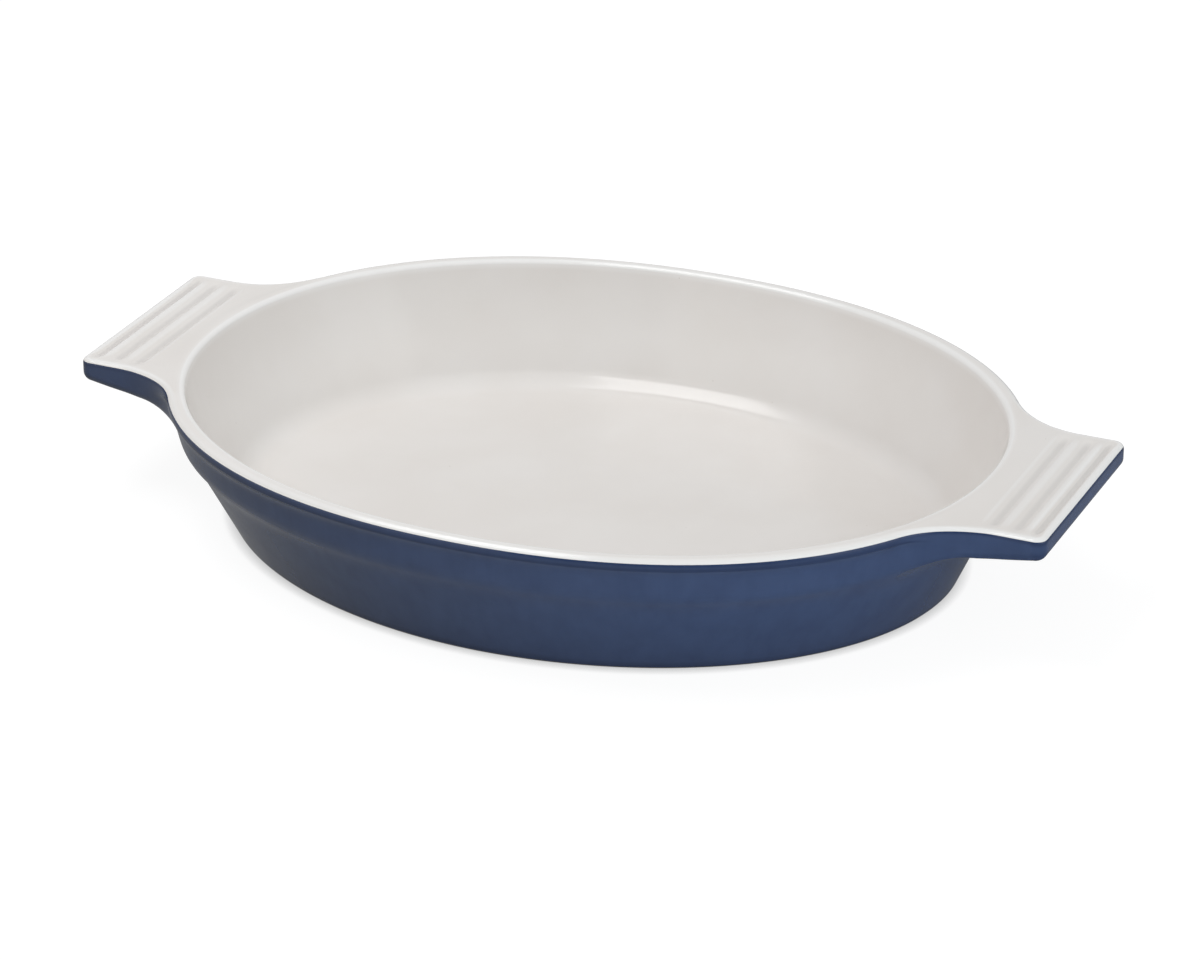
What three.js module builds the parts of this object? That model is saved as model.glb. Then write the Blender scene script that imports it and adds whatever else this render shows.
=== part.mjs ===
// Oval baking dish in glazed stoneware: a flared wall under an upright collar, a rounded lip,
// a grooved tab handle at each end and a bare foot ring.
// Millimetres, +Z up. The origin lies on the table under the middle of the dish, and the handles
// point along X. All sizes are those of the finished dish, with its glaze on.
import * as THREE from 'three';

// Plan of the rim. The outlines are superellipses: roundness 2 is a plain ellipse, more is squarer.
const RIM_LENGTH = 303.6;
const RIM_WIDTH = 242.4;
const RIM_ROUNDNESS = 2.14;
const FOOT_ROUNDNESS = 1.97;
const SIDE_FLARE = 18.1; // the heel stands this far inside the rim at the long sides
const END_FLARE = 19.1; // and this far at the ends

// Section of the wall
const HEIGHT = 50;
const LIP_WIDTH = 5;
const LIP_INNER_RADIUS = 1.8;
const LIP_OUTER_RADIUS = 2.5;
const NECK_INSET = 1.7; // the lip stands out this far over the collar
const NECK_DROP = 6; // from the crest of the lip down to the neck under it
const COLLAR_INSET = 2.6; // the collar's lower edge lies this far inside the rim
const COLLAR_HEIGHT = 15.6; // from the crest of the lip down to that edge
const COLLAR_RADIUS = 4; // round of that edge
const STEP_INSET = 6.2; // the wall under the collar starts this far inside the rim
const STEP_HEIGHT = 5; // and this far below the collar's edge
const STEP_RADIUS = 14;
const HEEL_HEIGHT = 1; // the outer glaze stops at the heel, this far above the table
const HEEL_RADIUS = 1;
const FOOT_TUCK = 1; // the foot ring's outer edge lies this far inside the heel
const FOOT_RING_WIDTH = 4.5;
const FOOT_RECESS = 1.5; // depth of the hollow inside the foot ring
const INNER_BEND_DROP = 14.5; // the inner wall is steep down to this far below the crest
const INNER_BEND_INSET = 2.2; // and leans in by this much on the way
const INNER_BEND_RADIUS = 24;
const FLOOR_HEIGHT = 7.5;
const FLOOR_INSET = 22.5; // from the rim to the corner between inner wall and floor
const COVE_RADIUS = 11;

// Tab handles
const HANDLE_REACH = 28.2; // from the end of the rim to the end of the handle
const HANDLE_WIDTH = 85.8;
const HANDLE_END_THICKNESS = 8.8;
const HANDLE_ROOT_THICKNESS = 11.6; // where the plain strip ends
const HANDLE_DROP = 0.8; // the top of the handle lies this far below the crest of the lip
const HANDLE_FILLET = 33; // concave round between the rim and the handle's side, in plan
const HANDLE_SHELF = 4.2; // plain strip between the rim and the grooved part
const HANDLE_CORNER = 3; // round of the two outer corners, in plan
const HANDLE_EDGE = 2; // round of the handle's top edges
const HANDLE_UNDER_EDGE = 3.5; // and of its lower edges
const GROOVE_COUNT = 3;
const GROOVE_WIDTH = 4;
const GROOVE_DEPTH = 1;
const GROOVE_SETBACK = 3.6; // from the end of the handle to the middle of the outermost groove
const HANDLE_END = RIM_LENGTH / 2 + HANDLE_REACH;
const SHELF_END = RIM_LENGTH / 2 + HANDLE_SHELF;

// Glaze
const GLAZE = 0.5;

// Facets
const HANDLE_COLUMNS = 10; // across each handle
const SIDE_COLUMNS = 22; // along each long side
const FILLET_LOOPS = 4;
const ROUND_STEPS = { cove: 3, bend: 1, lipInside: 2, lipOutside: 3, collarEdge: 2, step: 1, heel: 1 };
const TOP_TURNS = [0, 2 / 3, 1]; // shares of the quarter turn round a handle's top edge
const UNDER_TURNS = [1, 1 / 2, 0]; // and round its lower edge

const { lerp, clamp } = THREE.MathUtils;
const QUARTER = Math.PI / 2;
const HALVINGS = 50; // of the range in which the fillet's angle is sought

// Outlines and section

function oval(halfLength, halfWidth, roundness, angle) {
  const power = 2 / roundness;
  const c = Math.cos(angle);
  const s = Math.sin(angle);
  const x = halfLength * Math.sign(c) * Math.abs(c) ** power;
  const y = halfWidth * Math.sign(s) * Math.abs(s) ** power;
  return new THREE.Vector2(x, y);
}

// A point of the ring that lies `inset` inside the rim, measured at the long sides.
function ringPoint({ inset, z }, angle) {
  const share = inset / SIDE_FLARE;
  const roundness = lerp(RIM_ROUNDNESS, FOOT_ROUNDNESS, clamp(share, 0, 1));
  const plan = oval(RIM_LENGTH / 2 - share * END_FLARE, RIM_WIDTH / 2 - inset, roundness, angle);
  return new THREE.Vector3(plan.x, plan.y, z);
}

// The corner of a section, rounded to a radius: points along the arc that joins its two sides.
function rounded(before, corner, after, radius, steps) {
  const at = new THREE.Vector2(corner.inset, corner.z);
  const back = new THREE.Vector2(before.inset, before.z).sub(at).normalize();
  const ahead = new THREE.Vector2(after.inset, after.z).sub(at).normalize();
  const half = Math.acos(clamp(back.dot(ahead), -1, 1)) / 2;
  const middle = back.clone().add(ahead).normalize();
  const centre = at.clone().addScaledVector(middle, radius / Math.sin(half));
  const start = at.clone().addScaledVector(back, radius / Math.tan(half)).sub(centre);
  const turn = Math.sign(ahead.cross(back)) * (Math.PI - 2 * half);
  const points = [];
  for (let i = 0; i <= steps; i++) {
    const spoke = start.clone().rotateAround(new THREE.Vector2(), (turn * i) / steps);
    points.push({ inset: centre.x + spoke.x, z: centre.y + spoke.y });
  }
  return points;
}

// The section runs from the floor over the lip and down the outside to the hollow under the dish.
function drawSection() {
  const floor = { inset: RIM_WIDTH / 2, z: FLOOR_HEIGHT };
  const floorCorner = { inset: FLOOR_INSET, z: FLOOR_HEIGHT };
  const innerBend = { inset: LIP_WIDTH + INNER_BEND_INSET, z: HEIGHT - INNER_BEND_DROP };
  const lipInner = { inset: LIP_WIDTH, z: HEIGHT };
  const lipOuter = { inset: 0, z: HEIGHT };
  const straightDown = { inset: 0, z: 0 };
  const neck = { inset: NECK_INSET, z: HEIGHT - NECK_DROP };
  const collarEdge = { inset: COLLAR_INSET, z: HEIGHT - COLLAR_HEIGHT };
  const step = { inset: STEP_INSET, z: collarEdge.z - STEP_HEIGHT };
  const heel = { inset: SIDE_FLARE, z: HEEL_HEIGHT };
  const footOuter = { inset: SIDE_FLARE + FOOT_TUCK, z: 0 };
  const footInner = { inset: footOuter.inset + FOOT_RING_WIDTH, z: 0 };
  const recess = { inset: footInner.inset + FOOT_RECESS, z: FOOT_RECESS };
  return {
    cove: rounded(floor, floorCorner, innerBend, COVE_RADIUS, ROUND_STEPS.cove),
    bend: rounded(floorCorner, innerBend, lipInner, INNER_BEND_RADIUS, ROUND_STEPS.bend),
    lipInside: rounded(innerBend, lipInner, lipOuter, LIP_INNER_RADIUS, ROUND_STEPS.lipInside),
    lipOutside: rounded(lipInner, lipOuter, straightDown, LIP_OUTER_RADIUS, ROUND_STEPS.lipOutside),
    neck: [neck],
    collarEdge: rounded(neck, collarEdge, step, COLLAR_RADIUS, ROUND_STEPS.collarEdge),
    step: rounded(collarEdge, step, heel, STEP_RADIUS, ROUND_STEPS.step),
    heel: rounded(step, heel, footOuter, HEEL_RADIUS, ROUND_STEPS.heel),
    foot: [footOuter, footInner, recess],
  };
}

// The net of the finished surface: points, and faces that each say which glaze covers them.

class Net {
  constructor() {
    this.points = [];
    this.faces = [];
  }

  addPoint(point) {
    this.points.push(point);
    return this.points.length - 1;
  }

  addFace(corners, coat) {
    this.faces.push({ corners, coat });
  }

  // A strip of four-sided faces between two rows of points, with its outer side to the right.
  addStrip(row, nextRow, coatOf) {
    for (let i = 0; i + 1 < row.length; i++) {
      this.addFace([row[i], nextRow[i], nextRow[i + 1], row[i + 1]], coatOf(i));
    }
  }

  // A flat middle inside a closed row, as a fan of triangles.
  addMiddle(row, z, coat, facesUp) {
    const middle = this.addPoint(new THREE.Vector3(0, 0, z));
    for (let i = 0; i < row.length; i++) {
      const next = row[(i + 1) % row.length];
      this.addFace(facesUp ? [middle, row[i], next] : [middle, next, row[i]], coat);
    }
  }

  normals() {
    const sums = this.points.map(() => new THREE.Vector3());
    for (const { corners } of this.faces) {
      const count = corners.length;
      const [a, b, c] = [0, 1, 2].map((i) => this.points[corners[i]]);
      const d = this.points[corners[count - 1]];
      const across = c.clone().sub(a);
      const up = count > 3 ? d.clone().sub(b) : c.clone().sub(b);
      const normal = across.cross(up).normalize();
      corners.forEach((corner, i) => {
        const here = this.points[corner];
        const before = this.points[corners[(i + count - 1) % count]].clone().sub(here);
        const after = this.points[corners[(i + 1) % count]].clone().sub(here);
        sums[corner].addScaledVector(normal, before.angleTo(after));
      });
    }
    return sums.map((sum) => sum.normalize());
  }
}

// Bowl

// The angle at which the handle's fillet leaves the rim: there a circle of the fillet's radius
// touches both the rim and the handle's side.
function filletAngle() {
  const centreY = HANDLE_WIDTH / 2 + HANDLE_FILLET;
  let low = 0;
  let high = QUARTER;
  for (let i = 0; i < HALVINGS; i++) {
    const angle = (low + high) / 2;
    const { point, outward } = rimFrame(angle);
    if (point.y + HANDLE_FILLET * outward.y < centreY) {
      low = angle;
    } else {
      high = angle;
    }
  }
  return (low + high) / 2;
}

function rimFrame(angle) {
  const point = oval(RIM_LENGTH / 2, RIM_WIDTH / 2, RIM_ROUNDNESS, angle);
  const slope = RIM_ROUNDNESS - 1;
  const outward = new THREE.Vector2(
    (point.x / (RIM_LENGTH / 2)) ** slope / RIM_LENGTH,
    (point.y / (RIM_WIDTH / 2)) ** slope / RIM_WIDTH,
  ).normalize();
  return { point, outward };
}

// Angles of the columns: across one handle, along the far side, the other handle, the near side.
function columnAngles(edge) {
  const angles = [];
  for (const start of [0, Math.PI]) {
    for (let i = 0; i < HANDLE_COLUMNS; i++) {
      angles.push(start - edge + (2 * edge * i) / HANDLE_COLUMNS);
    }
    for (let i = 0; i < SIDE_COLUMNS; i++) {
      angles.push(start + edge + ((Math.PI - 2 * edge) * i) / SIDE_COLUMNS);
    }
  }
  return angles;
}

// The bowl leaves a port open at each end, where a handle grows out of the collar: from the
// second row of the lip's outer round to the last row of the collar's lower edge. The white glaze
// runs over the lip to the row after the port's first, and the coloured glaze from there to the heel.
function addBowl(net, section, angles) {
  const { lipOutside, collarEdge, heel } = section;
  const stations = Object.values(section).flat();
  const rings = stations.map((station) => angles.map((angle) => net.addPoint(ringPoint(station, angle))));
  const portTop = stations.indexOf(lipOutside[1]);
  const glazeLine = stations.indexOf(lipOutside[2]);
  const portBottom = stations.indexOf(collarEdge.at(-1));
  const heelLine = stations.indexOf(heel.at(-1));
  const handleSpan = HANDLE_COLUMNS + SIDE_COLUMNS;
  const inPort = (ring, column) =>
    ring >= portTop && ring < portBottom && column % handleSpan < HANDLE_COLUMNS;
  const coatOf = (ring) => {
    if (ring < glazeLine) return 'inner_glaze';
    return ring < heelLine ? 'outer_glaze' : null;
  };
  net.addMiddle(rings[0], FLOOR_HEIGHT, 'inner_glaze', true);
  for (let ring = 0; ring + 1 < rings.length; ring++) {
    for (let column = 0; column < angles.length; column++) {
      const next = (column + 1) % angles.length;
      if (!inPort(ring, column)) {
        net.addStrip([rings[ring][column], rings[ring][next]],
          [rings[ring + 1][column], rings[ring + 1][next]], () => coatOf(ring));
      }
    }
  }
  net.addMiddle(rings[rings.length - 1], FOOT_RECESS, 'base_glaze', false);
  return [0, handleSpan].map((first) =>
    rings.slice(portTop, portBottom + 1).map((ring) => ring.slice(first, first + HANDLE_COLUMNS + 1)));
}

// Handles

// Centre of the fillet at the far side of the handle, in plan.
function filletCentre(edge) {
  const { point, outward } = rimFrame(edge);
  return point.clone().addScaledVector(outward, HANDLE_FILLET);
}

// Plan of the handle's side, from the rim along the fillet as far as the plain strip goes.
function rootPath(edge) {
  const centre = filletCentre(edge);
  const { point } = rimFrame(edge);
  const first = point.sub(centre).angle();
  const last = 4 * QUARTER - Math.acos(clamp((SHELF_END - centre.x) / HANDLE_FILLET, -1, 0));
  const path = new THREE.Path();
  path.absarc(centre.x, centre.y, HANDLE_FILLET, first, last, false);
  return path;
}

// Plan of the handle's side past the plain strip: the rest of the fillet, a straight stretch and
// the outer corner. The edge's rounds are measured from it along `inward`.
function handleSide(x, edge) {
  const centre = filletCentre(edge);
  const before = Math.min(x - centre.x, 0);
  const past = Math.max(x - (HANDLE_END - HANDLE_CORNER), 0);
  const widen = HANDLE_FILLET - Math.sqrt(HANDLE_FILLET ** 2 - before ** 2);
  const close = HANDLE_CORNER - Math.sqrt(HANDLE_CORNER ** 2 - past ** 2);
  const inward = new THREE.Vector2(before, widen - HANDLE_FILLET).normalize();
  return { side: new THREE.Vector2(x, HANDLE_WIDTH / 2 + widen - close), inward };
}

// Where the handle is cut across past the plain strip: the sides and the bottom of each groove.
function grooveCuts() {
  const first = SHELF_END + GROOVE_WIDTH;
  const last = HANDLE_END - GROOVE_SETBACK;
  const cuts = [];
  for (let i = 0; i < GROOVE_COUNT; i++) {
    const middle = lerp(first, last, i / (GROOVE_COUNT - 1));
    cuts.push({ x: middle - GROOVE_WIDTH / 2, depth: 0 });
    cuts.push({ x: middle, depth: GROOVE_DEPTH });
    cuts.push({ x: middle + GROOVE_WIDTH / 2, depth: 0 });
  }
  return cuts;
}

// The edge of the handle in section, from its top over its side to its underside. Towards the end
// of the handle the top sinks, the underside rises and both rounds close up, by the share `close`.
function edgeProfile(top, under, close) {
  const round = (turns, edgeRadius, flat, sense) => turns.map((turn) => {
    const radius = lerp(edgeRadius, GLAZE, close);
    const drop = edgeRadius * close + radius * (1 - Math.cos(turn * QUARTER));
    return { inset: radius * (1 - Math.sin(turn * QUARTER)), z: flat + sense * drop };
  });
  return [
    ...round(TOP_TURNS, HANDLE_EDGE, top, -1),
    { inset: 0, z: (top - HANDLE_EDGE + under + HANDLE_UNDER_EDGE) / 2 },
    ...round(UNDER_TURNS, HANDLE_UNDER_EDGE, under, 1),
  ];
}

// The loops that the handle is lofted through, from the rim to its end.
function handleLoops(rimProfile, edge) {
  const top = HEIGHT - HANDLE_DROP;
  const path = rootPath(edge);
  const root = path.getPointAt(1).x;
  const under = (x) =>
    top - lerp(HANDLE_ROOT_THICKNESS, HANDLE_END_THICKNESS, (x - root) / (HANDLE_END - root));
  const loops = [];
  for (let i = 1; i <= FILLET_LOOPS; i++) {
    const share = i / FILLET_LOOPS;
    const tangent = path.getTangentAt(share);
    const lift = Math.sin(share * QUARTER);
    const profile = edgeProfile(top, under(root), 0).map((tab, row) => ({
      inset: lerp(rimProfile[row].inset, tab.inset, share),
      z: lerp(rimProfile[row].z, tab.z, lift),
    }));
    const inward = new THREE.Vector2(tangent.y, -tangent.x);
    loops.push({ side: path.getPointAt(share), inward, profile, depth: 0, share, reach: root });
  }
  for (const { x, depth } of grooveCuts()) {
    const profile = edgeProfile(top, under(x), 0);
    loops.push({ ...handleSide(x, edge), profile, depth, share: 1, reach: x });
  }
  for (const turn of TOP_TURNS.slice(1)) {
    const x = HANDLE_END - HANDLE_CORNER * (1 - Math.sin(turn * QUARTER));
    const profile = edgeProfile(top, under(x), 1 - Math.cos(turn * QUARTER));
    loops.push({ ...handleSide(x, edge), profile, depth: 0, share: 1, reach: x });
  }
  return loops;
}

// One row of a loop, across the top or the underside. At the rim it has the rim's own curve, which
// flattens along the plain strip.
function acrossRow(net, rimRow, loop, profilePoint, turn, depth) {
  const last = rimRow.length - 1;
  const rim = rimRow.map((index) => net.points[index]);
  const rimMiddle = rim[last / 2].x;
  const edge = loop.side.clone().addScaledVector(loop.inward, profilePoint.inset);
  const middle = lerp(turn * rimMiddle, loop.reach, loop.share);
  return rim.map((point, i) => {
    const bow = (point.x - rim[last].x) / (rimMiddle - rim[last].x);
    const x = lerp(edge.x, middle, bow);
    const y = (edge.y * point.y) / rim[last].y;
    const sink = i === 0 || i === last ? 0 : depth;
    return net.addPoint(new THREE.Vector3(turn * x, turn * y, profilePoint.z - sink));
  });
}

// The points of a loop's side, from its top to its underside, on the far side or the near one.
function sideColumn(net, loop, turn, hand) {
  return loop.profile.slice(1, -1).map(({ inset, z }) => {
    const plan = loop.side.clone().addScaledVector(loop.inward, inset);
    return net.addPoint(new THREE.Vector3(turn * plan.x, turn * hand * plan.y, z));
  });
}

// A loop runs along the top, down the far side, back along the underside and up the near side.
function closeLoop(topRow, farSide, underRow, nearSide) {
  return [...topRow, ...farSide, ...underRow.reverse(), ...nearSide.reverse(), topRow[0]];
}

function addHandle(net, port, rimProfile, edge, turn) {
  const lastRow = port.length - 1;
  const columns = HANDLE_COLUMNS + 1;
  const column = (i) => port.slice(1, lastRow).map((ring) => ring[i]);
  let loop = closeLoop([...port[0]], column(HANDLE_COLUMNS), [...port[lastRow]], column(0));
  const loops = handleLoops(rimProfile, edge);
  loops.forEach((station, i) => {
    const topRow = acrossRow(net, port[0], station, station.profile[0], turn, station.depth);
    const underRow = acrossRow(net, port[lastRow], station, station.profile[lastRow], turn, 0);
    const far = sideColumn(net, station, turn, 1);
    const near = sideColumn(net, station, turn, -1);
    const next = closeLoop(topRow, far, underRow, near);
    const isTop = (j) => j < columns || j === next.length - 2;
    const whiteOnTop = i < loops.length - 1;
    net.addStrip(loop, next, (j) => (whiteOnTop && isTop(j) ? 'inner_glaze' : 'outer_glaze'));
    loop = next;
  });
  addHandleEnd(net, loop, columns);
}

// The flat end of the handle: a face between each two columns, and the rounded strip at each side.
function addHandleEnd(net, loop, columns) {
  const around = loop.slice(0, -1);
  const sideRows = (around.length - 2 * columns) / 2;
  const under = (i) => around[2 * columns + sideRows - 1 - i];
  const farSide = around.slice(columns, columns + sideRows);
  const nearSide = around.slice(2 * columns + sideRows);
  const last = columns - 1;
  for (let i = 1; i + 1 < last; i++) {
    net.addFace([around[i], under(i), under(i + 1), around[i + 1]], 'outer_glaze');
  }
  net.addFace([around[1], around[0], ...nearSide.reverse(), under(0), under(1)], 'outer_glaze');
  net.addFace([under(last - 1), under(last), ...farSide.reverse(), around[last], around[last - 1]],
    'outer_glaze');
}

// Solids

// The clay lies one glaze thickness below the finished surface wherever that is glazed.
function clayPoints(net) {
  const glazed = new Set(net.faces.filter((face) => face.coat).flatMap((face) => face.corners));
  const normals = net.normals();
  return net.points.map((point, i) =>
    (glazed.has(i) ? point.clone().addScaledVector(normals[i], -GLAZE) : point));
}

// A solid from faces of three or more corners, each cut into triangles from its first corner.
function solid(faces) {
  const positions = [];
  for (const corners of faces) {
    for (let i = 1; i + 1 < corners.length; i++) {
      for (const corner of [corners[0], corners[i], corners[i + 1]]) {
        positions.push(corner.x, corner.y, corner.z);
      }
    }
  }
  const geometry = new THREE.BufferGeometry();
  geometry.setAttribute('position', new THREE.Float32BufferAttribute(positions, 3));
  geometry.computeVertexNormals();
  return geometry;
}

function clayBody(net, clay) {
  return solid(net.faces.map(({ corners }) => corners.map((corner) => clay[corner])));
}

// A coat of glaze: the finished faces, the clay under them, and a wall along the coat's border.
function glazeCoat(net, clay, coat) {
  const covered = net.faces.filter((face) => face.coat === coat);
  const faces = [];
  const border = new Map();
  for (const { corners } of covered) {
    faces.push(corners.map((corner) => net.points[corner]));
    const under = corners.map((corner) => clay[corner]);
    faces.push([under[0], ...under.slice(1).reverse()]);
    corners.forEach((from, i) => {
      const to = corners[(i + 1) % corners.length];
      if (!border.delete(`${to} ${from}`)) border.set(`${from} ${to}`, [from, to]);
    });
  }
  for (const [from, to] of border.values()) {
    const wall = [net.points[to], net.points[from], clay[from], clay[to]];
    // Two coats that meet share this wall, so both cut it along the same diagonal.
    faces.push(from < to ? wall : [...wall.slice(1), wall[0]]);
  }
  return solid(faces);
}

// Assembly

function buildNet() {
  const net = new Net();
  const section = drawSection();
  const edge = filletAngle();
  const ports = addBowl(net, section, columnAngles(edge));
  const rimProfile = [...section.lipOutside.slice(1), ...section.neck, ...section.collarEdge];
  addHandle(net, ports[0], rimProfile, edge, 1);
  addHandle(net, ports[1], rimProfile, edge, -1);
  return net;
}

function named(name, geometry, color, roughness) {
  const material = new THREE.MeshStandardMaterial({ color, roughness, metalness: 0 });
  const mesh = new THREE.Mesh(geometry, material);
  mesh.name = name;
  return mesh;
}

const net = buildNet();
const clay = clayPoints(net);
const dish = new THREE.Group();
dish.add(
  named('stoneware_body', clayBody(net, clay), 0xcbb89a, 0.9),
  named('inner_glaze', glazeCoat(net, clay, 'inner_glaze'), 0xece8e4, 0.12),
  named('outer_glaze', glazeCoat(net, clay, 'outer_glaze'), 0x2f4169, 0.15),
  named('base_glaze', glazeCoat(net, clay, 'base_glaze'), 0x2f4169, 0.2),
);
export default dish;
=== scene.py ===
import math

import bpy
import numpy as np
from mathutils import Matrix, Vector


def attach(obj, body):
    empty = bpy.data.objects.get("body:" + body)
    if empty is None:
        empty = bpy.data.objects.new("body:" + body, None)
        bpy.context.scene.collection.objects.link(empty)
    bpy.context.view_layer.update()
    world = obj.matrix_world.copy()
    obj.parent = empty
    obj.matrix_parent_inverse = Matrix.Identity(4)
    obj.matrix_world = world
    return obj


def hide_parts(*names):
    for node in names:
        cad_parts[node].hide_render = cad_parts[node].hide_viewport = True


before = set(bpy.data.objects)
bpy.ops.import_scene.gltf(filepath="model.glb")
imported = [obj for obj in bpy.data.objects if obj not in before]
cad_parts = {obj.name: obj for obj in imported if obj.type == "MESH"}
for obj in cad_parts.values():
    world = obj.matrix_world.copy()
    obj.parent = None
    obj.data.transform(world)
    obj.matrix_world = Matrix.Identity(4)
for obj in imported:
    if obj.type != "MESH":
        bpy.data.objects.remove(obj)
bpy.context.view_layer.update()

MM = 0.001

# Plan of the rim in millimetres. The outlines are superellipses: roundness 2 is a plain ellipse.
RIM_LENGTH = 303.6
RIM_WIDTH = 242.4
RIM_ROUNDNESS = 2.14
FOOT_ROUNDNESS = 1.97
SIDE_FLARE = 18.1  # from the rim in to the heel, at the long sides
END_FLARE = 19.1  # and at the two ends

# Corners of the wall's section, each with its distance inside the rim, its height and its radius
HEIGHT = 50.0
FLOOR_HEIGHT = 7.5
LIP_ROUND = 2.5
FOOT_RECESS = 1.5
SECTION_START = (60.0, FLOOR_HEIGHT)
SECTION = {
    "cove": (22.5, FLOOR_HEIGHT, 11.0),
    "inner_bend": (8.2, 35.5, 70.0),
    "lip_inside": (5.0, HEIGHT, 1.8),
    "lip_outside": (0.0, HEIGHT, LIP_ROUND),
    "lip_under": (0.0, 46.4, 1.2),
    "neck": (1.7, 44.0, 7.0),
    "collar_edge": (2.6, 34.4, 11.0),
    "step": (6.2, 29.4, 24.0),
    "heel": (SIDE_FLARE, 1.0, 1.0),
    "foot_outer": (19.1, 0.0, 0.5),
    "foot_inner": (23.6, 0.0, 0.4),
    "hollow": (25.1, FOOT_RECESS, 0.5),
}
SECTION_END = (60.0, FOOT_RECESS)

# Tab handles
HANDLE_END = 180.0
SHELF_END = 156.0
HALF_WIDTH = 42.9
HANDLE_DROP = 0.8  # from the lip down to the handles' tops
HANDLE_TOP = HEIGHT - HANDLE_DROP
END_THICKNESS = 8.8
ROOT_THICKNESS = 11.6
FILLET = 33.0
CORNER = 4.0
TOP_EDGE = 2.0
UNDER_EDGE = 3.5
UNDER_CURVE = 1.3  # 1 is a straight underside, and a higher power starts it level
TOP_LEAD = 0.5  # even steps from the rim to the grip
UNDER_LEAD = 0.46  # shorter first steps, so that the underside leaves the collar more steeply
UNDER_SIDES = 0.5  # share of the rim's bow over which the underside reaches its full height
GROOVES = ((160.0, 3.9), (168.3, 3.9), (175.4, 2.6))  # middle and half width of each groove
GROOVE_DEPTH = 1.3
GROOVE_FADE = (33.0, 40.5)  # the grooves run out between these distances from the middle
ROOT_BLEND = (26.0, 26.0, 12.0)  # reach of the blend where a handle's lower edge leaves the collar
ROOT_ROUNDS = 16

# Glaze
GLAZE = 0.5
GLAZE_LINE = math.radians(60)  # the white glaze runs this far round the outside of the lip

# Fineness of the mesh
ROUND_STEP = math.radians(10)
LONGEST_STEP = 2.6
HANDLE_COLUMNS = 44
SIDE_COLUMNS = 104
ROOT_LOOPS = 12
GRIP_LOOPS = 40
CORNER_LOOPS = 7
ROW_ENDS = 0.25  # share of the rim's bow over which the rows across the grip meet its sides
FLOOR_RINGS = 14
EDGE_POINTS = 20  # on the rounded lower edge of a handle, before its rows are spread evenly
SHARP = math.radians(40)  # edges that turn further than this aren't shaded smooth
BEND_ROUNDS = 3  # how often the measured bend is evened out between neighbouring points
EVENING = 0.5  # how far one such round moves a point to the mean of its neighbours
HALVINGS = 50  # of the range in which an angle is searched


# Small helpers

def unit(vector):
    return vector / np.linalg.norm(vector)


def lerp(a, b, share):
    return a + (b - a) * share


def ease(share):
    """0 to 1 with a level start and end."""
    share = np.clip(share, 0, 1)
    return share * share * (3 - 2 * share)


def resample(line, count):
    """Points spread evenly along a line, without its first point."""
    steps = np.linalg.norm(np.diff(line, axis=0), axis=1)
    along = np.concatenate([[0], np.cumsum(steps)])
    wanted = np.linspace(0, along[-1], count + 1)[1:]
    return np.column_stack([np.interp(wanted, along, line[:, axis]) for axis in range(2)])


# Section and plan

def rounded(before, corner, after, radius):
    """Points along the arc that rounds a corner of the section."""
    back = unit(before - corner)
    ahead = unit(after - corner)
    half = math.acos(np.clip(back @ ahead, -1, 1)) / 2
    centre = corner + unit(back + ahead) * radius / math.sin(half)
    spoke = corner + back * radius / math.tan(half) - centre
    turn = np.sign(ahead[0] * back[1] - ahead[1] * back[0]) * (math.pi - 2 * half)
    steps = max(2, math.ceil(abs(turn) / ROUND_STEP))
    angles = np.linspace(0, turn, steps + 1)
    x = spoke[0] * np.cos(angles) - spoke[1] * np.sin(angles)
    y = spoke[0] * np.sin(angles) + spoke[1] * np.cos(angles)
    return centre + np.column_stack([x, y])


def draw_section():
    """Rows of (inset, height) from the floor over the lip to the hollow under the dish, and the first
    and last row of each rounded corner."""
    corners = [np.array(corner[:2]) for corner in SECTION.values()]
    line = [np.array(SECTION_START), *corners, np.array(SECTION_END)]
    rows = []
    spans = {}
    for i, (name, (_, _, radius)) in enumerate(SECTION.items()):
        arc = rounded(line[i], line[i + 1], line[i + 2], radius)
        if rows:
            gap = np.linalg.norm(arc[0] - rows[-1])
            fill = math.ceil(gap / LONGEST_STEP)
            start = rows[-1]
            rows.extend(lerp(start, arc[0], k / fill) for k in range(1, fill))
        spans[name] = (len(rows), len(rows) + len(arc) - 1)
        rows.extend(arc)
    return np.array(rows), spans


def ring_points(inset, z, angles):
    """Points of the ring that lies `inset` inside the rim, measured at the long sides."""
    share = inset / SIDE_FLARE
    power = 2 / lerp(RIM_ROUNDNESS, FOOT_ROUNDNESS, np.clip(share, 0, 1))
    c = np.cos(angles)
    s = np.sin(angles)
    x = (RIM_LENGTH / 2 - share * END_FLARE) * np.sign(c) * abs(c) ** power
    y = (RIM_WIDTH / 2 - inset) * np.sign(s) * abs(s) ** power
    return np.column_stack([x, y, np.full(len(angles), z)])


def rim_frame(angle):
    """A point of the rim in plan and the direction straight out of it."""
    point = ring_points(0.0, HEIGHT, np.array([angle]))[0, :2]
    halves = np.array([RIM_LENGTH / 2, RIM_WIDTH / 2])
    outward = unit((point / halves) ** (RIM_ROUNDNESS - 1) / halves)
    return point, outward


def fillet_angle():
    """Angle at which a circle of the fillet's radius touches both the rim and the handle's side."""
    low, high = 0.0, math.pi / 2
    for _ in range(HALVINGS):
        angle = (low + high) / 2
        point, outward = rim_frame(angle)
        if point[1] + FILLET * outward[1] < HALF_WIDTH + FILLET:
            low = angle
        else:
            high = angle
    return (low + high) / 2


def column_angles(edge):
    """Across one handle, along the far side, across the other handle and along the near side."""
    spans = []
    for start in (0.0, math.pi):
        spans.append(np.linspace(start - edge, start + edge, HANDLE_COLUMNS + 1)[:-1])
        spans.append(np.linspace(start + edge, start + math.pi - edge, SIDE_COLUMNS + 1)[:-1])
    return np.concatenate(spans)


# Net of the finished surface

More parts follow.
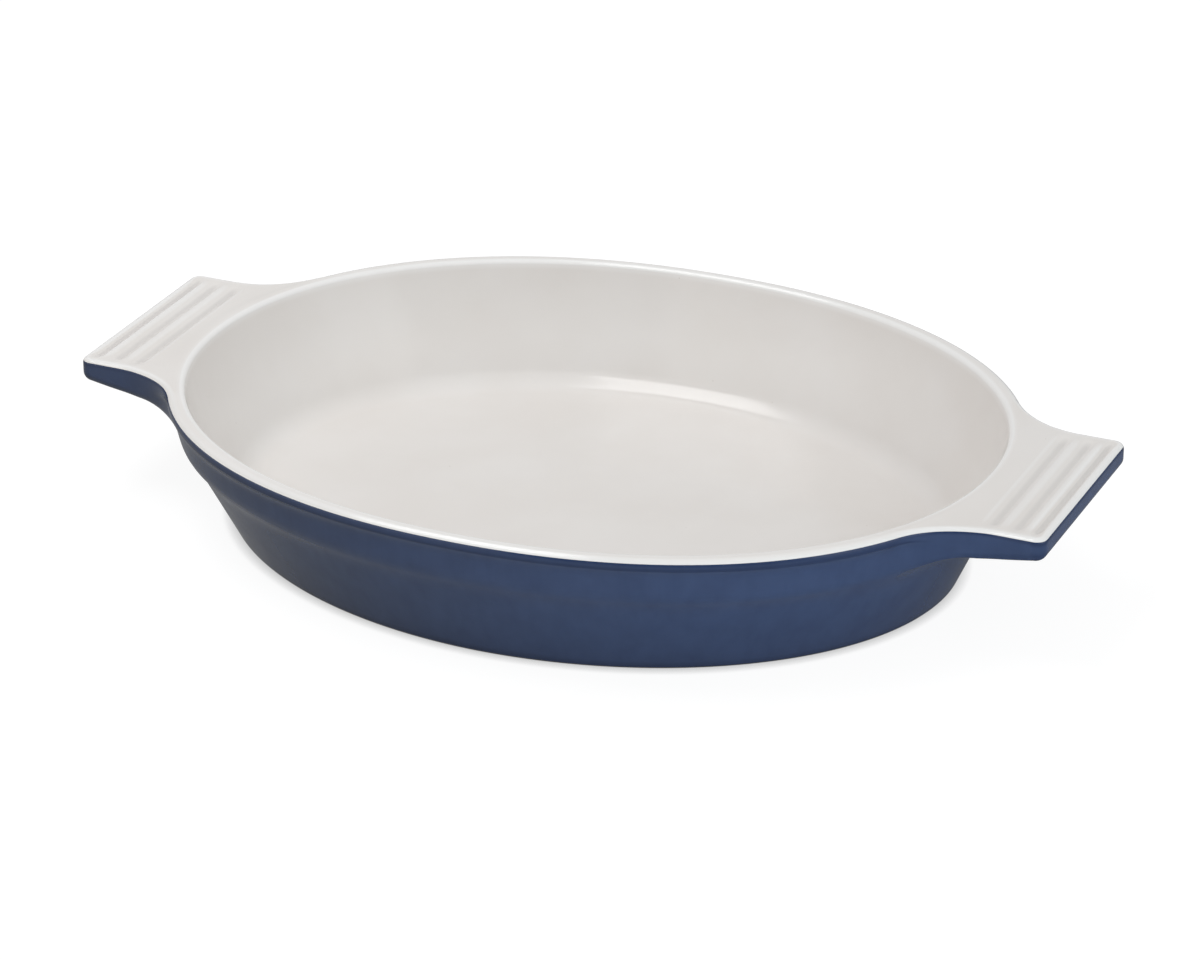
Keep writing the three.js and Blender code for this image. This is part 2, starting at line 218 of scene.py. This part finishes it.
class Net:
    """Points, and faces that each say which coat covers them."""

    def __init__(self):
        self.points = []
        self.faces = []
        self.coats = []

    def add_points(self, points):
        first = len(self.points)
        self.points.extend(np.asarray(points))
        return list(range(first, len(self.points)))

    def add_face(self, corners, coat):
        self.faces.append(tuple(corners))
        self.coats.append(coat)

    def add_grid(self, rows, coat):
        """Four-sided faces between rows of points, whose outer side lies to the right of the rows."""
        for row, after in zip(rows, rows[1:]):
            for i in range(len(row) - 1):
                self.add_face((row[i], after[i], after[i + 1], row[i + 1]), coat)

    def add_disc(self, ring, coat, faces_up):
        """A level disc inside a ring: smaller and smaller rings, and a point in the middle."""
        outline = np.array([self.points[i] for i in ring])
        level = np.array([0, 0, outline[0, 2]])
        rings = [ring]
        for k in range(FLOOR_RINGS - 1, 0, -1):
            rings.append(self.add_points(level + (outline - level) * k / FLOOR_RINGS))
        middle = self.add_points([level])[0]
        closed = [list(r) + [r[0]] for r in rings]
        self.add_grid(closed[::-1] if faces_up else closed, coat)
        last = closed[-1]
        for a, b in zip(last, last[1:]):
            self.add_face((middle, a, b) if faces_up else (middle, b, a), coat)

    def edges(self):
        """The two ends of every edge, as two rows of point numbers."""
        pairs = set()
        for face in self.faces:
            for a, b in zip(face, face[1:] + face[:1]):
                pairs.add((min(a, b), max(a, b)))
        return np.array(sorted(pairs)).T

    def normals(self):
        """Direction out of the surface at each point, or zero where no face has the point."""
        points = np.array(self.points)
        sums = np.zeros_like(points)
        for size in (3, 4):
            faces = np.array([face for face in self.faces if len(face) == size])
            across = points[faces[:, 2]] - points[faces[:, 0]]
            up = points[faces[:, size - 1]] - points[faces[:, 1]]
            normal = np.cross(across, up)
            for corner in range(size):
                np.add.at(sums, faces[:, corner], normal)
        sizes = np.linalg.norm(sums, axis=1)[:, None]
        return np.divide(sums, sizes, out=sums, where=sizes > 0)


def add_bowl(net, rows, spans, angles):
    """The bowl, with a port left open at each end for the handle. Returns the rows of the two ports."""
    rings = [net.add_points(ring_points(inset, z, angles)) for inset, z in rows]
    closed = [ring + ring[:1] for ring in rings]
    first_port = spans["lip_outside"][0]
    last_port = spans["collar_edge"][1]
    line = glaze_row(spans)
    bare = spans["foot_outer"][0]
    base = spans["hollow"][1]
    span = HANDLE_COLUMNS + SIDE_COLUMNS
    for r in range(base):
        coat = "white" if r < line else "blue" if r < bare else None
        for j in range(len(angles)):
            in_port = first_port <= r < last_port and j % span < HANDLE_COLUMNS
            if not in_port:
                net.add_grid([closed[r][j:j + 2], closed[r + 1][j:j + 2]], coat)
    net.add_disc(rings[0], "white", faces_up=True)
    net.add_disc(rings[base], "base", faces_up=False)
    port_rings = rings[first_port:last_port + 1]
    return [[ring[start:start + HANDLE_COLUMNS + 1] for ring in port_rings] for start in (0, span)]


def glaze_row(spans):
    """The row where white and blue glaze meet."""
    first, last = spans["lip_outside"]
    return first + round((last - first) * GLAZE_LINE / (math.pi / 2))


# Handles

def edge_profile(under, lip_rows, other_rows):
    """Section of the handle's edge, from its top over its side to its underside."""
    turn = np.linspace(0, math.pi / 2, lip_rows)
    top = np.column_stack([TOP_EDGE * (1 - np.sin(turn)), HANDLE_TOP - TOP_EDGE * (1 - np.cos(turn))])
    turn = np.linspace(0, math.pi / 2, EDGE_POINTS)
    low = np.column_stack([UNDER_EDGE * (1 - np.cos(turn)), under + UNDER_EDGE * (1 - np.sin(turn))])
    return np.vstack([top, resample(np.vstack([top[-1:], low]), other_rows)])


def underside(x):
    share = (x - SHELF_END) / (HANDLE_END - UNDER_EDGE - SHELF_END)
    return HANDLE_TOP - lerp(ROOT_THICKNESS, END_THICKNESS, np.clip(share, 0, 1) ** UNDER_CURVE)


def side_plan(edge):
    """The handle's far side in plan, from the rim to its outer corner: points and the directions into
    the handle."""
    point, outward = rim_frame(edge)
    centre = point + FILLET * outward
    first = math.atan2(-outward[1], -outward[0])
    last = -math.acos((SHELF_END - centre[0]) / FILLET)
    plan = []
    for angle in np.linspace(first, last, ROOT_LOOPS + 1)[1:]:
        inward = np.array([math.cos(angle), math.sin(angle)])
        plan.append((centre + FILLET * inward, inward))
    for x in np.linspace(SHELF_END, HANDLE_END - CORNER, GRIP_LOOPS + 1)[1:]:
        before = min(x - centre[0], 0)
        inward = np.array([before, -math.sqrt(FILLET ** 2 - before ** 2)]) / FILLET
        y = HALF_WIDTH + FILLET + FILLET * inward[1]
        plan.append((np.array([x, y]), inward))
    for angle in np.linspace(0, math.pi / 2, CORNER_LOOPS + 1)[1:]:
        outward = np.array([math.sin(angle), math.cos(angle)])
        middle = np.array([HANDLE_END - CORNER, HALF_WIDTH - CORNER])
        plan.append((middle + CORNER * outward, -outward))
    return plan


def side_columns(rim_profile, lip_rows, edge):
    """Points of the far side, one column from top to underside for each step along it."""
    columns = []
    for i, (point, inward) in enumerate(side_plan(edge)):
        under = underside((point + UNDER_EDGE * inward)[0])
        profile = edge_profile(under, lip_rows, len(rim_profile) - lip_rows)
        share = (i + 1) / ROOT_LOOPS
        profile = lerp(rim_profile, profile, ease(share))
        plan = point + profile[:, :1] * inward
        columns.append(np.column_stack([plan, profile[:, 1]]))
    return columns


def groove_depth(x, y):
    depth = 0
    for middle, half in GROOVES:
        reach = np.clip(abs(x - middle) / half, 0, 1)
        depth = depth + GROOVE_DEPTH * np.cos(reach * math.pi / 2) ** 2
    fade = (abs(y) - GROOVE_FADE[0]) / (GROOVE_FADE[1] - GROOVE_FADE[0])
    return depth * (1 - ease(fade))


def across(i, rim, corner, lead, inset):
    """Plan of a row across the handle, between its two sides, and the bow of the rim that it starts from.
    The last row lies `inset` inside the handle's end."""
    centre = rim[len(rim) // 2, 0]
    bow = (rim[:, 0] - rim[-1, 0]) / (centre - rim[-1, 0])
    y = corner[1] * rim[:, 1] / rim[-1, 1]
    if i < ROOT_LOOPS:
        share = (i + 1) / ROOT_LOOPS
        middle = lerp(centre, SHELF_END, 2 * lead * share * (1 - share) + share ** 2)
        return lerp(corner[0], middle, bow), y, bow
    share = (i + 1 - ROOT_LOOPS) / (GRIP_LOOPS + CORNER_LOOPS)
    middle = lerp(SHELF_END, HANDLE_END - inset, share)
    return lerp(corner[0], middle, np.minimum(bow / ROW_ENDS, 1)), y, bow


def top_rows(rim, columns):
    """Rows across the top of the handle."""
    rows = []
    for i, column in enumerate(columns):
        corner = column[0]
        x, y, _ = across(i, rim, corner, TOP_LEAD, TOP_EDGE)
        rows.append(np.column_stack([x, y, corner[2] - groove_depth(x, y)]))
    return rows


def under_rows(rim, columns):
    """Rows across the underside, which leaves the collar in a hollow curve."""
    rows = []
    for i, column in enumerate(columns):
        corner = column[-1]
        x, y, bow = across(i, rim, corner, UNDER_LEAD, UNDER_EDGE)
        z = underside(x)
        if i < ROOT_LOOPS:
            left = 1 - (i + 1) / ROOT_LOOPS
            middle = lerp(underside(SHELF_END), rim[0, 2], left ** 2)
            z = lerp(corner[2], middle, ease(bow / UNDER_SIDES))
        rows.append(np.column_stack([x, y, z]))
    return rows


def end_columns(columns, rim):
    """Columns of the handle's flat end, between its two outer corners."""
    shares = rim[1:-1, 1] / rim[-1, 1]
    return [columns[-1] * np.array([1, share, 1]) for share in shares]


def add_handle(net, port, rows, spans, edge, turn):
    """A handle, with the edges of a port as its root. `turn` is 1 at one end and -1 at the other."""
    place = np.array([turn, turn, 1])
    mirror = np.array([1, -1, 1])
    first, last = spans["lip_outside"]
    rim_profile = rows[first:spans["collar_edge"][1] + 1]
    columns = side_columns(rim_profile, last - first + 1, edge)
    rim_top = np.array([net.points[i] for i in port[0]]) * place
    rim_low = np.array([net.points[i] for i in port[-1]]) * place
    far = [[ring[-1] for ring in port]] + [net.add_points(c * place) for c in columns]
    near = [[ring[0] for ring in port]] + [net.add_points(c * mirror * place) for c in columns]
    end = [net.add_points(c * place) for c in end_columns(columns, rim_top)]
    edges = np.array(near + end + far[::-1]).T.tolist()
    line = glaze_row(spans) - first
    net.add_grid(edges[:line + 1], "white")
    net.add_grid(edges[line:], "blue")
    add_cover(net, port[0], top_rows(rim_top, columns), near, far, end, 0, place, "white")
    add_cover(net, port[-1], under_rows(rim_low, columns), near, far, end, -1, place, "blue")


def add_cover(net, rim_row, rows, near, far, end, level, place, coat):
    """The top or the underside of a handle, inside the edge's first or last row."""
    grid = [rim_row]
    for i, row in enumerate(rows[:-1]):
        inner = net.add_points(row[1:-1] * place)
        grid.append([near[i + 1][level], *inner, far[i + 1][level]])
    grid.append([near[-1][level], *(column[level] for column in end), far[-1][level]])
    net.add_grid(grid if level == 0 else [row[::-1] for row in grid], coat)


def neighbour_mean(edges, from_first, from_second):
    """Mean at each point of what its edges bring. Each edge has a value from each of its ends."""
    first, second = edges
    size = edges.max() + 1
    total = np.bincount(second, from_first, size) + np.bincount(first, from_second, size)
    count = np.bincount(first, minlength=size) + np.bincount(second, minlength=size)
    return total / np.maximum(count, 1)


def blend_roots(net, ports):
    """Evens out the blue surface round the lower corners of the ports, where the handles' edges begin."""
    points = np.array(net.points)
    edges = net.edges()
    share = np.zeros(len(points))
    for port in ports:
        for corner in (port[-1][0], port[-1][-1]):
            reach = np.linalg.norm((points - points[corner]) / np.array(ROOT_BLEND), axis=1)
            share = np.maximum(share, ease(1 - reach))
    kept = {i for face, coat in zip(net.faces, net.coats) if coat != "blue" for i in face}
    share[sorted(kept)] = 0
    for _ in range(ROOT_ROUNDS):
        ends = points[edges[0]], points[edges[1]]
        means = [neighbour_mean(edges, ends[0][:, axis], ends[1][:, axis]) for axis in range(3)]
        points = lerp(points, np.column_stack(means), EVENING * share[:, None])
    net.points = list(points)


def draw_dish():
    net = Net()
    rows, spans = draw_section()
    edge = fillet_angle()
    ports = add_bowl(net, rows, spans, column_angles(edge))
    for port, turn in zip(ports, (1, -1)):
        add_handle(net, port, rows, spans, edge, turn)
    blend_roots(net, ports)
    return net


# Materials, with colours in linear light

WHITE_TONES = ((0.80, 0.765, 0.735), (0.825, 0.795, 0.77))
# painted highlight: a whiter tone on the white glaze's edges, for the light they catch
WHITE_EDGE_HIGHLIGHT = (0.92, 0.915, 0.91)
# pooled glaze plus painted shade: a greyer tone in the white glaze's hollows
WHITE_POOL_AND_SHADE = (0.68, 0.655, 0.635)
WHITE_SPECK = (0.30, 0.22, 0.15)
BLUE_TONES = ((0.0472, 0.0742, 0.163), (0.0518, 0.0818, 0.178))
BLUE_STREAK = (0.028, 0.050, 0.120)
# painted shade: a darker tone on the blue glaze's edges, such as the lip's underside
BLUE_EDGE_SHADE = (0.012, 0.024, 0.070)
# pooled glaze plus painted shade: a darker tone in the blue glaze's hollows
BLUE_POOL_AND_SHADE = (0.018, 0.034, 0.090)
BLUE_SPECK = (0.08, 0.11, 0.19)
CLAY_TONES = ((0.50, 0.39, 0.27), (0.60, 0.49, 0.36))
CLAY_SPECK = (0.25, 0.17, 0.11)
CLOUD_SPAN = (0.35, 0.65)  # noise values between which one tone turns into the other
GLOSS_SPAN = (0.3, 0.7)  # noise values between which the gloss changes
STREAK_SPAN = (0.42, 0.7)  # noise values between which a streak comes up
STREAK_SHARE = 0.2  # the most that a streak covers
STREAK_STRETCH = (1, 1, 0.2)  # makes streaks five times as long as wide, down the wall
SPECK_CORE = 0.4  # share of a speck's radius that has its full colour
MIX_A, MIX_B, MIX_RESULT = 6, 7, 2  # sockets of a mix of colours


def rgb(red, green, blue):
    return (red, green, blue, 1.0)


def grey(tone):
    return rgb(tone, tone, tone)


class Nodes:
    """A node tree, with short ways to add and join its nodes."""

    def __init__(self, tree):
        self.tree = tree

    def node(self, kind, **settings):
        node = self.tree.nodes.new(kind)
        for name, value in settings.items():
            setattr(node, name, value)
        return node

    def join(self, value, socket):
        """Sets a socket to a number or colour, or links it to another socket."""
        if isinstance(value, bpy.types.NodeSocket):
            self.tree.links.new(value, socket)
        else:
            socket.default_value = value

    def math(self, operation, a, b):
        node = self.node("ShaderNodeMath", operation=operation)
        self.join(a, node.inputs[0])
        self.join(b, node.inputs[1])
        return node.outputs["Value"]

    def span(self, value, low, high, to_low, to_high):
        """Carries one range of values over to another, clamped at its ends."""
        node = self.node("ShaderNodeMapRange")
        for name, number in zip(("Value", "From Min", "From Max", "To Min", "To Max"),
                                (value, low, high, to_low, to_high)):
            self.join(number, node.inputs[name])
        return node.outputs["Result"]

    def mix(self, share, a, b):
        node = self.node("ShaderNodeMix", data_type="RGBA")
        self.join(share, node.inputs["Factor"])
        self.join(a, node.inputs[MIX_A])
        self.join(b, node.inputs[MIX_B])
        return node.outputs[MIX_RESULT]

    def pick(self, seen, mirrored, other):
        """One value for light paths that show the stage to the camera, one for those off a gloss, and one
        for all others."""
        path = self.node("ShaderNodeLightPath")
        through = self.math("MAXIMUM", path.outputs["Is Camera Ray"], path.outputs["Is Transmission Ray"])
        value = other
        for share, choice in ((path.outputs["Is Glossy Ray"], mirrored), (through, seen)):
            left = self.math("MULTIPLY", self.math("SUBTRACT", 1.0, share), value)
            value = self.math("ADD", left, self.math("MULTIPLY", share, choice))
        return value


class Shader(Nodes):
    """A material. Its patterns are placed in the part's frame."""

    def __init__(self, name):
        self.material = bpy.data.materials.new(name)
        self.material.use_nodes = True
        super().__init__(self.material.node_tree)
        self.surface = self.tree.nodes["Principled BSDF"]
        self.place = self.node("ShaderNodeTexCoord").outputs["Object"]

    def give(self, name, value):
        """Sets or links an input of the surface."""
        self.join(value, self.surface.inputs[name])

    def noise(self, size, detail=2.0, stretch=(1, 1, 1)):
        """Soft noise from 0 to 1 whose features are about `size` millimetres wide."""
        mapping = self.node("ShaderNodeMapping")
        self.join(self.place, mapping.inputs["Vector"])
        self.join(stretch, mapping.inputs["Scale"])
        noise = self.node("ShaderNodeTexNoise")
        self.join(mapping.outputs["Vector"], noise.inputs["Vector"])
        self.join(1 / (size * MM), noise.inputs["Scale"])
        self.join(detail, noise.inputs["Detail"])
        return noise.outputs["Fac"]

    def clouds(self, tones, size, detail):
        """Two tones that turn into each other in clouds."""
        share = self.span(self.noise(size, detail), *CLOUD_SPAN, 0, 1)
        dark, light = tones
        return self.mix(share, rgb(*dark), rgb(*light))

    def gloss(self, size, detail, low, high):
        """Roughness that changes between two values."""
        return self.span(self.noise(size, detail), *GLOSS_SPAN, low, high)

    def specks(self, spacing, radius, share, strength=1.0):
        """`strength` in small round specks, in a share of cells that are `spacing` millimetres wide."""
        cells = self.node("ShaderNodeTexVoronoi")
        self.join(self.place, cells.inputs["Vector"])
        self.join(1 / (spacing * MM), cells.inputs["Scale"])
        reach = radius / spacing
        spot = self.span(cells.outputs["Distance"], reach, reach * SPECK_CORE, 0, strength)
        split = self.node("ShaderNodeSeparateColor")
        self.join(cells.outputs["Color"], split.inputs["Color"])
        chosen = self.math("LESS_THAN", split.outputs["Red"], share)
        return self.math("MULTIPLY", spot, chosen)

    def bent(self, start, full, most):
        """A share that grows from 0 to `most` as the surface's bend goes from `start` to `full`. The bend is
        above 0 on edges and below 0 in hollows. The shares carry painted highlight and painted shade along
        edges, and pooled glaze with painted shade in hollows."""
        bend = self.node("ShaderNodeAttribute", attribute_name="bend").outputs["Fac"]
        return self.span(bend, start, full, 0, most)

    def bump(self, height, depth, below=None):
        """Raises the surface by up to `depth` millimetres."""
        node = self.node("ShaderNodeBump")
        self.join(depth * MM, node.inputs["Distance"])
        self.join(height, node.inputs["Height"])
        if below is not None:
            self.join(below, node.inputs["Normal"])
        return node.outputs["Normal"]

    def finish(self, color, roughness, normal):
        self.give("Base Color", color)
        self.give("Roughness", roughness)
        self.give("Normal", normal)
        return self.material


def white_glaze():
    """Warm white gloss: faint clouds, a painted highlight along edges, pooled glaze and painted shade in
    hollows, tiny iron specks and a wavy skin.
    """
    shader = Shader("white_glaze")
    color = shader.clouds(WHITE_TONES, size=45, detail=3)
    # painted highlight along the edges
    edge = shader.bent(start=0.05, full=0.2, most=0.75)
    color = shader.mix(edge, color, rgb(*WHITE_EDGE_HIGHLIGHT))
    # pooled glaze, plus painted shade, in the hollows
    hollow = shader.bent(start=-0.05, full=-0.16, most=0.7)
    color = shader.mix(hollow, color, rgb(*WHITE_POOL_AND_SHADE))
    specks = shader.specks(spacing=9, radius=0.28, share=0.35, strength=0.45)
    color = shader.mix(specks, color, rgb(*WHITE_SPECK))
    waves = shader.bump(shader.noise(size=16, detail=1), depth=0.10)
    skin = shader.bump(shader.noise(size=2.2, detail=2), depth=0.008, below=waves)
    return shader.finish(color, shader.gloss(size=14, detail=3, low=0.10, high=0.18), skin)


def blue_glaze():
    """Dark slate-blue gloss: mottled, streaked down the wall, with painted shade along edges, and pooled
    glaze with painted shade in hollows.
    """
    shader = Shader("blue_glaze")
    color = shader.clouds(BLUE_TONES, size=11, detail=4)
    streaks = shader.noise(size=5, detail=3, stretch=STREAK_STRETCH)
    color = shader.mix(shader.span(streaks, *STREAK_SPAN, 0, STREAK_SHARE), color, rgb(*BLUE_STREAK))
    # painted shade along the edges
    edge = shader.bent(start=0.06, full=0.25, most=0.6)
    color = shader.mix(edge, color, rgb(*BLUE_EDGE_SHADE))
    # pooled glaze, plus painted shade, in the hollows
    hollow = shader.bent(start=-0.04, full=-0.25, most=0.4)
    color = shader.mix(hollow, color, rgb(*BLUE_POOL_AND_SHADE))
    specks = shader.specks(spacing=5, radius=0.25, share=0.4, strength=0.4)
    color = shader.mix(specks, color, rgb(*BLUE_SPECK))
    waves = shader.bump(shader.noise(size=12, detail=1), depth=0.10)
    skin = shader.bump(shader.noise(size=1.8, detail=2), depth=0.008, below=waves)
    return shader.finish(color, shader.gloss(size=10, detail=3, low=0.12, high=0.22), skin)


def bare_clay():
    """Buff fired clay: matt and grainy, with dark grog specks."""
    shader = Shader("stoneware")
    color = shader.clouds(CLAY_TONES, size=12, detail=4)
    specks = shader.specks(spacing=1.6, radius=0.3, share=0.3)
    color = shader.mix(specks, color, rgb(*CLAY_SPECK))
    grain = shader.bump(shader.noise(size=0.7, detail=4), depth=0.08)
    return shader.finish(color, shader.gloss(size=3, detail=2, low=0.75, high=0.92), grain)


# Pieces

def surface_bend(net, points, normals):
    """How strongly the surface bends at each point, in turns per millimetre: above 0 where it bulges."""
    edges = net.edges()
    a, b = edges
    step = points[b] - points[a]
    along = ((normals[b] - normals[a]) * step).sum(axis=1) / (step ** 2).sum(axis=1)
    bend = neighbour_mean(edges, along, along)
    for _ in range(BEND_ROUNDS):
        bend = lerp(bend, neighbour_mean(edges, bend[a], bend[b]), EVENING)
    return bend


def coat_faces(net, coat):
    """Faces of a coat of glaze: the finished side, the side on the clay and the wall along its border.
    A point of the clay has the number of the finished point over it plus the number of all points."""
    under = len(net.points)
    covered = [face for face, name in zip(net.faces, net.coats) if name == coat]
    border = {}
    for face in covered:
        for a, b in zip(face, face[1:] + face[:1]):
            if border.pop((b, a), None) is None:
                border[(a, b)] = True
    faces = list(covered)
    faces += [tuple(i + under for i in reversed(face)) for face in covered]
    faces += [(b, a, a + under, b + under) for a, b in border]
    return faces


def make_piece(name, points, bend, faces, material, node):
    """A mesh of the points that its faces use. It rides on the body and stands for a node of the part."""
    used = sorted({i for face in faces for i in face})
    number = {old: new for new, old in enumerate(used)}
    mesh = bpy.data.meshes.new(name)
    mesh.from_pydata((points[used] * MM).tolist(), [], [[number[i] for i in face] for face in faces])
    mesh.shade_smooth()
    mesh.set_sharp_from_angle(angle=SHARP)
    values = mesh.attributes.new("bend", "FLOAT", "POINT")
    values.data.foreach_set("value", bend[used].astype(np.float32))
    mesh.materials.append(material)
    piece = bpy.data.objects.new(name, mesh)
    bpy.context.scene.collection.objects.link(piece)
    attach(piece, "root")
    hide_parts(node)


def make_dish():
    net = draw_dish()
    points = np.array(net.points)
    normals = net.normals()
    glazed = {i for face, coat in zip(net.faces, net.coats) if coat for i in face}
    cover = np.array([GLAZE if i in glazed else 0.0 for i in range(len(points))])
    clay = points - normals * cover[:, None]
    bend = surface_bend(net, points, normals)
    both = np.vstack([points, clay])
    bends = np.concatenate([bend, bend])
    under = len(points)
    blue = blue_glaze()
    body = [tuple(i + under for i in face) for face in net.faces]
    make_piece("clay", both, bends, body, bare_clay(), "stoneware_body")
    inside, outside, base = (coat_faces(net, coat) for coat in ("white", "blue", "base"))
    make_piece("white_coat", both, bends, inside, white_glaze(), "inner_glaze")
    make_piece("blue_coat", both, bends, outside, blue, "outer_glaze")
    make_piece("base_coat", both, bends, base, blue, "base_glaze")


# Studio, with lengths in metres

FLOOR_SIZE = 8.0
CAMERA_DISTANCE = 1.633
CAMERA_AZIMUTH = math.radians(24.139)
CAMERA_ELEVATION = math.radians(25.321)
CAMERA_SHIFT = (0.002472, 0.016369)  # sideways and upwards, in metres
CAMERA_LENS = 139.47
SENSOR_WIDTH = 36.0
FLOOR_TONES = ((0.53, 0.41, 0.27), (0.86, 0.97, 1.0))  # painted light: what it sends on, dimmer and warmer left of the dish and brighter and cooler right of it
FLOOR_MIRRORED = (0.22, 0.11)  # what it adds there for the glaze to mirror
FLOOR_FADE = 0.12  # distance from the middle at which those values are reached
SEEN_TONE = 0.16  # what the floor shows of light and shadow
SEEN_GLOW = 0.915  # and what it adds to look white
CONTACT_REACH = 0.004  # how far the dark line along the foot spreads
CONTACT_GLOW = 0.5  # share of the glow that is left there
CONTACT_SAMPLES = 4
WORLD_MIRRORED = 0.75
WORLD_LIGHT = 0.445
GLOSS_ONLY = ("camera", "diffuse", "shadow", "transmission")  # hides a sheet from all but a gloss
CARD_DISTANCE = 2.7
CARD_SIZE = (4.0, 2.7)
CARD_TONE = 0.05
KEY_HEIGHT = 1.2
KEY_OUTLINE = ((-0.10, -0.48), (-0.30, 0.42), (-0.60, 0.42), (-0.85, -0.52))
KEY_FRONT = ((0.0, -0.80), (-0.10, -0.48), (-0.85, -0.52), (-0.94, -0.76))  # only for the glaze to mirror
KEY_GLOW = 4.9
FILL_PLACE = (1.18, -0.85, 0.66)
FILL_SIZE = (1.0, 0.8)
FILL_POWER = 7.5
FILL_COLOR = (0.92, 0.98, 1.0)


def make_camera():
    az, el = CAMERA_AZIMUTH, CAMERA_ELEVATION
    back = Vector((math.sin(az) * math.cos(el), -math.cos(az) * math.cos(el), math.sin(el)))
    right = Vector((0, 0, 1)).cross(back).normalized()
    up = back.cross(right)
    data = bpy.data.cameras.new("camera")
    data.sensor_fit = "HORIZONTAL"
    data.sensor_width = SENSOR_WIDTH
    data.lens = CAMERA_LENS
    camera = bpy.data.objects.new("camera", data)
    turn = Matrix((right, up, back)).transposed().to_4x4()
    place = back * CAMERA_DISTANCE + right * CAMERA_SHIFT[0] + up * CAMERA_SHIFT[1]
    camera.matrix_world = Matrix.Translation(place) @ turn
    bpy.context.scene.collection.objects.link(camera)
    bpy.context.scene.camera = camera


def make_sheet(name, corners, unseen=()):
    """A flat sheet of the studio, hidden from some kinds of light path. Returns its shader."""
    shader = Shader(name)
    mesh = bpy.data.meshes.new(name)
    mesh.from_pydata(corners, [], [range(len(corners))])
    mesh.materials.append(shader.material)
    sheet = bpy.data.objects.new(name, mesh)
    for kind in unseen:
        setattr(sheet, "visible_" + kind, False)
    bpy.context.scene.collection.objects.link(sheet)
    return shader


def floor_fade(shader, left, right):
    """A value that changes across the floor from the left of the dish to its right."""
    place = shader.node("ShaderNodeSeparateXYZ")
    shader.join(shader.place, place.inputs["Vector"])
    return shader.span(place.outputs["X"], -FLOOR_FADE, FLOOR_FADE, left, right)


def contact_glow(shader):
    """The floor's glow, less along the foot, where hardly any light gets in."""
    near = shader.node("ShaderNodeAmbientOcclusion", samples=CONTACT_SAMPLES)
    shader.join(CONTACT_REACH, near.inputs["Distance"])
    return shader.span(near.outputs["AO"], 0, 1, SEEN_GLOW * CONTACT_GLOW, SEEN_GLOW)


def make_floor():
    """A pale floor that shows white, with the dish's faint shadow on it."""
    half = FLOOR_SIZE / 2
    shader = make_sheet("floor", [(-half, -half, 0), (half, -half, 0), (half, half, 0), (-half, half, 0)])
    left, right = FLOOR_TONES
    sent = shader.mix(floor_fade(shader, 0, 1), rgb(*left), rgb(*right))
    shown = shader.pick(seen=1.0, mirrored=1.0, other=0.0)
    shader.give("Base Color", shader.mix(shown, sent, grey(SEEN_TONE)))
    shader.give("Roughness", 1.0)
    shader.give("Specular IOR Level", 0.0)
    mirrored = floor_fade(shader, *FLOOR_MIRRORED)
    glow = shader.pick(seen=contact_glow(shader), mirrored=mirrored, other=0.0)
    shader.give("Emission Color", grey(1))
    shader.give("Emission Strength", glow)


def make_world():
    """Even light from all round, behind a white background."""
    world = bpy.data.worlds.new("world")
    bpy.context.scene.world = world
    world.use_nodes = True
    nodes = Nodes(world.node_tree)
    light = nodes.tree.nodes["Background"]
    nodes.join(grey(1), light.inputs["Color"])
    strength = nodes.pick(seen=1.0, mirrored=WORLD_MIRRORED, other=WORLD_LIGHT)
    nodes.join(strength, light.inputs["Strength"])


def make_card():
    """A dark card behind the camera that only the glaze mirrors, as the dark part of a studio."""
    width, height = CARD_SIZE
    side = Vector((math.cos(CAMERA_AZIMUTH), math.sin(CAMERA_AZIMUTH), 0)) * width / 2
    foot = Vector((math.sin(CAMERA_AZIMUTH), -math.cos(CAMERA_AZIMUTH), 0)) * CARD_DISTANCE
    top = foot + Vector((0, 0, height))
    corners = [foot - side, foot + side, top + side, top - side]
    shader = make_sheet("card", corners, GLOSS_ONLY)
    shader.give("Base Color", grey(CARD_TONE))


def make_key():
    """A softbox overhead and a part in front of it that only the glaze mirrors. Together they have the
    outline of the highlight where the far wall meets the floor."""
    for name, outline, unseen in (("key", KEY_OUTLINE, ("camera",)), ("key_front", KEY_FRONT, GLOSS_ONLY)):
        shader = make_sheet(name, [(x, y, KEY_HEIGHT) for x, y in outline], unseen)
        shader.give("Base Color", grey(0))
        shader.give("Emission Color", grey(1))
        shader.give("Emission Strength", KEY_GLOW)


def make_fill():
    """A softer light from the right that the glaze doesn't mirror."""
    data = bpy.data.lights.new("fill", "AREA")
    data.shape = "RECTANGLE"
    data.size, data.size_y = FILL_SIZE
    data.energy = FILL_POWER
    data.color = FILL_COLOR
    lamp = bpy.data.objects.new("fill", data)
    lamp.location = FILL_PLACE
    lamp.rotation_euler = (-Vector(FILL_PLACE)).to_track_quat("-Z", "Y").to_euler()
    lamp.visible_camera = False
    lamp.visible_glossy = False
    bpy.context.scene.collection.objects.link(lamp)


bpy.context.scene.view_settings.view_transform = "Standard"
make_dish()
make_camera()
make_floor()
make_world()
make_card()
make_key()
make_fill()
